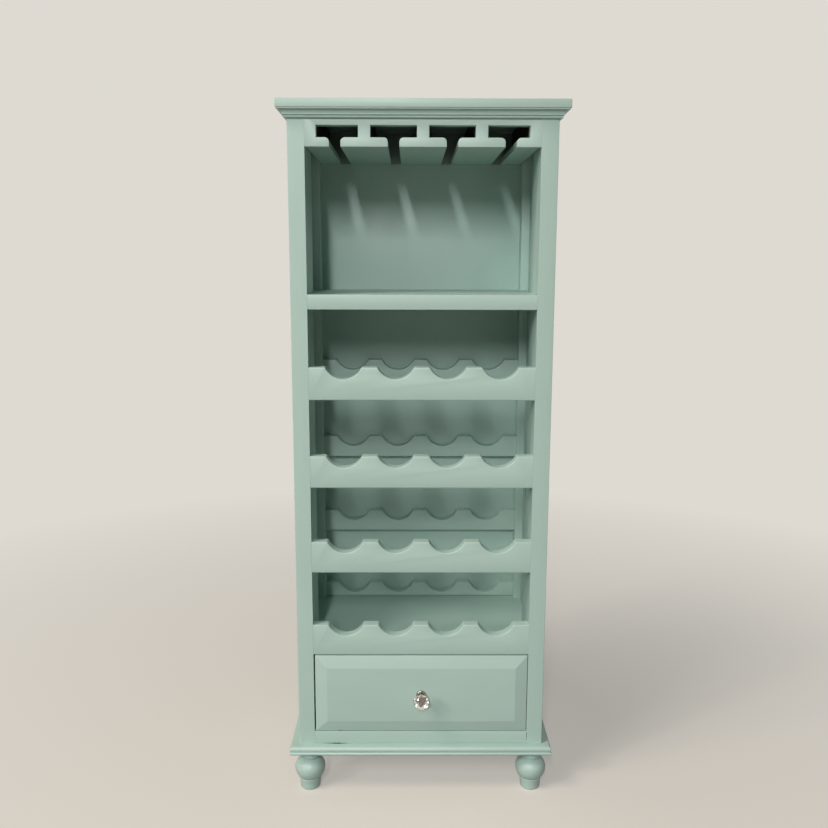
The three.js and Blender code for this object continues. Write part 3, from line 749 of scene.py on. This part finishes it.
class CABINET_OT_top(bpy.types.Operator):
    """Build the top board and the crown moulding under its edge"""
    bl_idname = "cabinet.top"
    bl_label = "Top and crown"

    def execute(self, context):
        corner = context.scene.cabinet_sizes.corner_easing
        low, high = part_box("top_board")
        soft, steps = 1.0 * MM, 3
        profile = np.concatenate([
            arc(soft, soft, soft, 1.5 * np.pi, np.pi, steps),
            arc(soft, high.z - low.z - soft, soft, np.pi, np.pi / 2, steps),
        ])
        rings = moulded_rings(profile + [0, low.z], high.x, low.y, high.y, corner)
        make_piece("finished_top_board", rings, finish("brushed_paint", (0,)), ["top_board"])
        face_gap = 0.2 * MM
        # Bead, step, small bead, cove and fillet, from the bottom up, as reach and height in millimetres
        section = MM * np.concatenate([
            [[0, 0]], swell((4.4, 0), (4.5, 4.0), 1.6, 8), [[4.7, 4.8]],
            swell((7.0, 5.1), (7.6, 7.5), 0.7, 6), swell((7.9, 7.9), (15.9, 14.5), -2.0, 12)[1:],
            [[17, 14.8], [17, 16.5], [0, 16.5]],
        ])
        for name, sign in (("front", 0), ("left", -1), ("right", 1)):
            node = f"crown_moulding_{name}"
            low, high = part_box(node)
            reach, height = section.T
            shape = np.zeros((2, len(section), 3))
            shape[..., 2] = low.z + height
            if sign:
                shape[..., 0] = (high.x if sign < 0 else low.x) + sign * reach
                shape[0, :, 1] = FACE - face_gap - reach
                shape[1, :, 1] = high.y
            else:
                shape[..., 1] = high.y - reach
                half = high.x - reach.max()
                shape[0, :, 0] = -half - reach
                shape[1, :, 0] = half + reach
            make_piece(f"finished_{node}", shape, finish("brushed_paint", (1 if sign else 0,)), [node])
        return {"FINISHED"}


class CABINET_OT_base(bpy.types.Operator):
    """Build the moulded base board"""
    bl_idname = "cabinet.base"
    bl_label = "Base board"

    def execute(self, context):
        corner = context.scene.cabinet_sizes.corner_easing
        low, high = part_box("base_board")
        # Bead, groove and rounded upper edge, from the bottom up, as inset and height in millimetres
        profile = MM * np.concatenate([
            [[3.2, 0]], swell((1.4, 0.0), (1.2, 5.5), -1.3, 10), [[2.9, 5.9], [2.9, 7.9]],
            [[1.3, 8.6], [0.9, 11.0]], oval(6.6, 11.2, 5.7, 6.3, np.pi, np.pi / 2, 10),
        ])
        rings = moulded_rings(profile + [0, low.z], high.x, low.y, high.y, corner)
        make_piece("finished_base_board", rings, finish("brushed_paint", (0,)), ["base_board"])
        return {"FINISHED"}


class CABINET_OT_feet(bpy.types.Operator):
    """Turn the four feet and finish their bolts"""
    bl_idname = "cabinet.feet"
    bl_label = "Turned feet"

    def execute(self, context):
        sizes = context.scene.cabinet_sizes
        # Pad, tapering cup with a soft lip, crease, ball that narrows downward, neck, collar ring and plate,
        # as radius and height in millimetres
        crease, ball, middle, neck = 23.4, 31.8, 46, 18
        below, above = math.acos(crease / ball), math.acos(neck / ball)
        profile = MM * np.concatenate([
            [[16.5, 0]], oval(17.9, 3.0, 3.0, 3.0, -0.5 * np.pi, 0.04 * np.pi, 8),
            swell((21.0, 4.2), (22.6, 21.4), -0.3, 10),
            oval(22.0, 22.0, 1.0, 1.7, -0.1 * np.pi, 0.45 * np.pi, 5), [[22.1, 24.0]],
            oval(0, middle, ball, 31.6, -below, 0, 24)[1:-1], oval(0, middle, ball, 26.2, 0, above, 24),
            oval(neck, 73, 2, 5, -0.4 * np.pi, 0.5 * np.pi, 10), [[neck, 81.7], [21, 81.7], [21, 89.7]],
        ])
        for place in CORNERS:
            node = f"foot_{place}"
            low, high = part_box(node)
            centre = ((low.x + high.x) / 2, (low.y + high.y) / 2, 0)
            rings = turned(profile, sizes.turning_steps, centre)
            make_piece(f"finished_{node}", rings, finish("brushed_paint", (0, 1)), [node])
            give_finish(f"foot_bolt_{place}", "zinc_plate")
        return {"FINISHED"}


class CABINET_OT_drawer(bpy.types.Operator):
    """Build the drawer: its raised front and the box behind it"""
    bl_idname = "cabinet.drawer"
    bl_label = "Drawer"

    def execute(self, context):
        bevel = context.scene.cabinet_sizes.field_bevel
        low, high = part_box("drawer_front")
        rise = FACE - low.y
        slope = rise / bevel
        # Inset and depth behind the face, from the back forward: eased edge, bevel, soft arris and field
        levels = [
            (0, high.y - FACE), (0, 0.6 * MM), (0.2 * MM, 0.15 * MM), (0.6 * MM, -0.6 * MM * slope),
            (bevel - 0.5 * MM, 0.5 * MM * slope - rise), (bevel, 0.06 * MM - rise), (bevel + 0.6 * MM, -rise),
        ]
        half_x, half_z, corner = (high.x - low.x) / 2, (high.z - low.z) / 2, 0.5 * MM
        middle_x, middle_z = (low.x + high.x) / 2, (low.z + high.z) / 2
        rings = []
        for inset, depth in levels:
            ring = rounded_rectangle(half_x - inset, half_z - inset, corner)
            rings.append(np.column_stack([
                ring[:, 0] + middle_x, np.full(len(ring), FACE + depth), ring[:, 1] + middle_z]))
        paint = finish("brushed_paint", (0,))
        make_piece("finished_drawer_front", np.array(rings), paint, ["drawer_front"], "drawer", sharp=CRISP)
        for node in ("drawer_bottom", "drawer_back"):
            make_board(node, "sealed_hardwood", "drawer")
        for side, _ in SIDES:
            give_finish(f"drawer_side_{side}", "sealed_hardwood", (1,))
        return {"FINISHED"}


class CABINET_OT_knob(bpy.types.Operator):
    """Build the knob: nickel-plated base, cut crystal head and the screw from inside"""
    bl_idname = "cabinet.knob"
    bl_label = "Crystal knob"

    def execute(self, context):
        sizes = context.scene.cabinet_sizes
        low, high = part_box("knob_base")
        middle = ((low.x + high.x) / 2, high.y, (low.z + high.z) / 2)
        # Domed flange, waist and cup, as radius and height in millimetres
        profile = MM * np.concatenate([
            [[10.2, 0], [10.5, 0.4], [10.5, 1.0]], oval(5.4, 1.0, 5.1, 2.6, 0.1 * np.pi, 0.45 * np.pi, 6),
            swell((5.9, 4.2), (6.2, 9.0), -0.5, 6), swell((6.2, 9.4), (7.4, 13.2), -0.5, 8)[1:],
            [[7.6, 16.2], [7.3, 16.5]],
        ])
        rings = turned(profile, sizes.turning_steps, middle, axis=1)
        make_piece("finished_knob_base", rings, finish("nickel_plate"), ["knob_base"], "drawer")
        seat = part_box("knob_crystal")[1].y
        # Facet rings as radius and height in millimetres. Every other ring is turned by half a facet, so that
        # kites and triangles meet.
        facets = MM * np.array([
            [7.0, 0], [11.4, 5.2], [16.0, 11.4], [16.8, 13.6], [13.6, 18.6], [9.4, 21.8], [4.6, 24]])
        count = sizes.cut_facets
        radius, height = facets.T
        turn = 2 * np.pi * (np.arange(count)[None, :] + 0.5 * (np.arange(len(facets)) % 2)[:, None]) / count
        rings = np.stack([
            middle[0] + radius[:, None] * np.cos(turn), np.repeat(seat - height[:, None], count, axis=1),
            middle[2] + radius[:, None] * np.sin(turn)], axis=-1)
        faces = facet_faces(len(facets), count)
        make_piece(
            "finished_knob_crystal", rings, finish("cut_crystal"), ["knob_crystal"], "drawer",
            sharp=0, faces=faces)
        give_finish("knob_screw", "zinc_plate")
        return {"FINISHED"}


class CABINET_OT_stage(bpy.types.Operator):
    """Set up the floor, the background, the lights and the camera"""
    bl_idname = "cabinet.stage"
    bl_label = "Stage"

    def execute(self, context):
        stage, scene = context.scene.cabinet_stage, context.scene
        backdrop, bounce = tuple(stage.backdrop), tuple(stage.floor_bounce)
        scene.view_settings.view_transform = "Standard"

        # Floor: the camera sees it pale and fading into the background; the cabinet gets less back from it
        floor_radius, floor_sides = 9.0, 64
        fade_from, fade_to, least_fade = 0.5, 2.4, 0.4
        material = bpy.data.materials.new("studio_floor")
        material.use_nodes = True
        tree = material.node_tree
        tree.nodes.clear()
        seen = shown_background(tree)
        place = add(tree, "ShaderNodeTexCoord").outputs["Object"]
        far = add(tree, "ShaderNodeVectorMath", {0: place}, operation="LENGTH").outputs["Value"]
        faded = maths(tree, "MULTIPLY", spread(tree, far, fade_from, fade_to, least_fade, 1), seen)
        matt = add(tree, "ShaderNodeBsdfDiffuse", {"Color": blended(tree, seen, bounce, backdrop)}).outputs[0]
        glow = add(tree, "ShaderNodeEmission", {"Color": (*backdrop, 1)}).outputs[0]
        mixed = add(tree, "ShaderNodeMixShader", {0: faded, 1: matt, 2: glow}).outputs[0]
        add(tree, "ShaderNodeOutputMaterial", {"Surface": mixed})
        rim = arc(0, 0, floor_radius, 0, 2 * np.pi, floor_sides)[:-1]
        mesh = bpy.data.meshes.new("studio_floor")
        mesh.from_pydata(np.column_stack([rim, np.zeros(len(rim))]).tolist(), [], [list(range(len(rim)))])
        mesh.materials.append(material)
        floor = bpy.data.objects.new("studio_floor", mesh)
        scene.collection.objects.link(floor)

        world = bpy.data.worlds.new("studio_light")
        world.use_nodes = True
        scene.world = world
        tree = world.node_tree
        tree.nodes.clear()
        seen = shown_background(tree)
        light = add(tree, "ShaderNodeBackground", {
            "Color": (*stage.ambient, 1), "Strength": stage.ambient_level}).outputs[0]
        shown = add(tree, "ShaderNodeBackground", {"Color": (*backdrop, 1), "Strength": 1.0}).outputs[0]
        mixed = add(tree, "ShaderNodeMixShader", {0: seen, 1: light, 2: shown}).outputs[0]
        add(tree, "ShaderNodeOutputWorld", {"Surface": mixed})

        # Lamps: name, place, what it points at, width and height in metres, power and tint
        warm, plain, cool = (1.0, 0.83, 0.70), (1.0, 0.95, 0.90), (0.98, 0.99, 0.985)
        middle, knob = (0, 0, 0.75), (0, 0, 0.22)
        lamps = (
            ("key_light", (-5.6, -6.2, 4.1), middle, 3.0, 2.5, stage.key_power, cool),
            ("high_light", (-4.4, -3.4, 7.8), middle, 3.0, 2.5, stage.high_power, warm),
            ("side_light", (-6.1, -2.8, 6.8), middle, 3.0, 2.5, stage.side_power, plain),
            ("accent_light", (-6.3, -4.8, 4.6), knob, 0.8, 0.8, stage.accent_power, plain),
            ("strip_light", (-0.58, -6.3, 3.4), (-0.58, -6.3, 0), 0.22, 4.6, stage.strip_power, cool),
        )
        for name, spot, target, wide, tall, power, tint in lamps:
            data = bpy.data.lights.new(name, "AREA")
            data.shape, data.size, data.size_y, data.energy = "RECTANGLE", wide, tall, power
            data.color = tint
            lamp = bpy.data.objects.new(name, data)
            lamp.location = spot
            lamp.rotation_euler = (Vector(target) - Vector(spot)).to_track_quat("-Z", "Y").to_euler()
            lamp.visible_camera = False
            scene.collection.objects.link(lamp)

        # Camera: where the photograph's edges meet, 1.7 m in front of the face and 25 mm left of the middle
        pitch, yaw, roll = math.radians(9.888), math.radians(0.3055), math.radians(0.1494)
        aside, distance, height = -0.0248, 1.7166, 1.1086
        sensor, focal_pixels, photo_pixels = 36, 887, 828
        forward = Vector((math.sin(yaw) * math.cos(pitch), math.cos(yaw) * math.cos(pitch), -math.sin(pitch)))
        right = Vector((math.cos(yaw), -math.sin(yaw), 0))
        above = right.cross(forward)
        right, above = (
            math.cos(roll) * right + math.sin(roll) * above, math.cos(roll) * above - math.sin(roll) * right)
        camera = bpy.data.objects.new("photo_camera", bpy.data.cameras.new("photo_camera"))
        placing = Matrix((right, above, -forward)).transposed().to_4x4()
        placing.translation = Vector((aside, FACE - distance, height))
        camera.matrix_world = placing
        camera.data.sensor_width, camera.data.lens = sensor, sensor * focal_pixels / photo_pixels
        scene.collection.objects.link(camera)
        scene.camera = camera
        return {"FINISHED"}


STEPS = (
    CABINET_OT_stage, CABINET_OT_face_frame, CABINET_OT_cradle_rails, CABINET_OT_stemware_rack,
    CABINET_OT_side_frames, CABINET_OT_boards, CABINET_OT_top, CABINET_OT_base, CABINET_OT_feet,
    CABINET_OT_drawer, CABINET_OT_knob,
)


class CABINET_PT_panel(bpy.types.Panel):
    """Lists the sizes, the colours and the steps"""
    bl_idname = "CABINET_PT_panel"
    bl_label = "Wine cabinet"
    bl_space_type = "VIEW_3D"
    bl_region_type = "UI"
    bl_category = "Wine cabinet"

    def draw(self, context):
        for name, _ in GROUPS:
            group, box = getattr(context.scene, name), self.layout.box()
            for key in group.__annotations__:
                box.prop(group, key)
        for step in STEPS:
            self.layout.operator(step.bl_idname)


GROUPS = (
    ("cabinet_sizes", CabinetSizes), ("cabinet_colours", CabinetColours), ("cabinet_stage", CabinetStage))


def register():
    for key, group in GROUPS:
        bpy.utils.register_class(group)
        setattr(bpy.types.Scene, key, PointerProperty(type=group))
    for step in STEPS + (CABINET_PT_panel,):
        bpy.utils.register_class(step)


def unregister():
    for step in STEPS + (CABINET_PT_panel,):
        bpy.utils.unregister_class(step)
    for key, group in GROUPS:
        delattr(bpy.types.Scene, key)
        bpy.utils.unregister_class(group)


def main():
    """Registers the classes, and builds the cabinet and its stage."""
    register()
    bpy.ops.cabinet.stage()
    bpy.ops.cabinet.face_frame()
    bpy.ops.cabinet.cradle_rails()
    bpy.ops.cabinet.stemware_rack()
    bpy.ops.cabinet.side_frames()
    bpy.ops.cabinet.boards()
    bpy.ops.cabinet.top()
    bpy.ops.cabinet.base()
    bpy.ops.cabinet.feet()
    bpy.ops.cabinet.drawer()
    bpy.ops.cabinet.knob()


if __name__ == "__main__":
    main()
